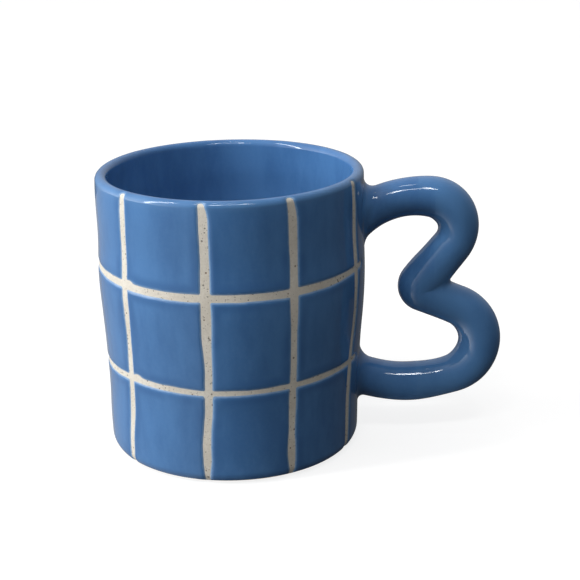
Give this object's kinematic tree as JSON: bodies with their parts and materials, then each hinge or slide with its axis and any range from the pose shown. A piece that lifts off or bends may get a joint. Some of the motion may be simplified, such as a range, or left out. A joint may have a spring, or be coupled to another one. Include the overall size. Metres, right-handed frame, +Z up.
{
  "type": "stoneware mug",
  "caption": "Hand-finished stoneware mug with a squiggle coil handle, a bare-clay grid drawn through glossy glaze, and a bare foot ring.",
  "frame": {"origin": "centre of the bare foot ring, on the plane that the mug stands on", "axes": "+Z up along the cup's axis, +X towards the handle, which lies in the XZ plane; +Y to the left seen from the handle's end"},
  "size_m": [0.1284, 0.0846, 0.09],
  "materials": {
    "stoneware_clay": "matte, speckled",
    "blue_glaze": "gloss"
  },
  "bodies": {
    "root": {"body": "stoneware_clay", "handle": "stoneware_clay", "upper_handle_joint": "blue_glaze", "lower_handle_joint": "blue_glaze", "rim_and_liner_glaze": "blue_glaze", "upper_glaze_panels": "blue_glaze", "middle_glaze_panels": "blue_glaze", "lower_glaze_panels": "blue_glaze", "handle_glaze": "blue_glaze"}
  },
  "joints": []
}
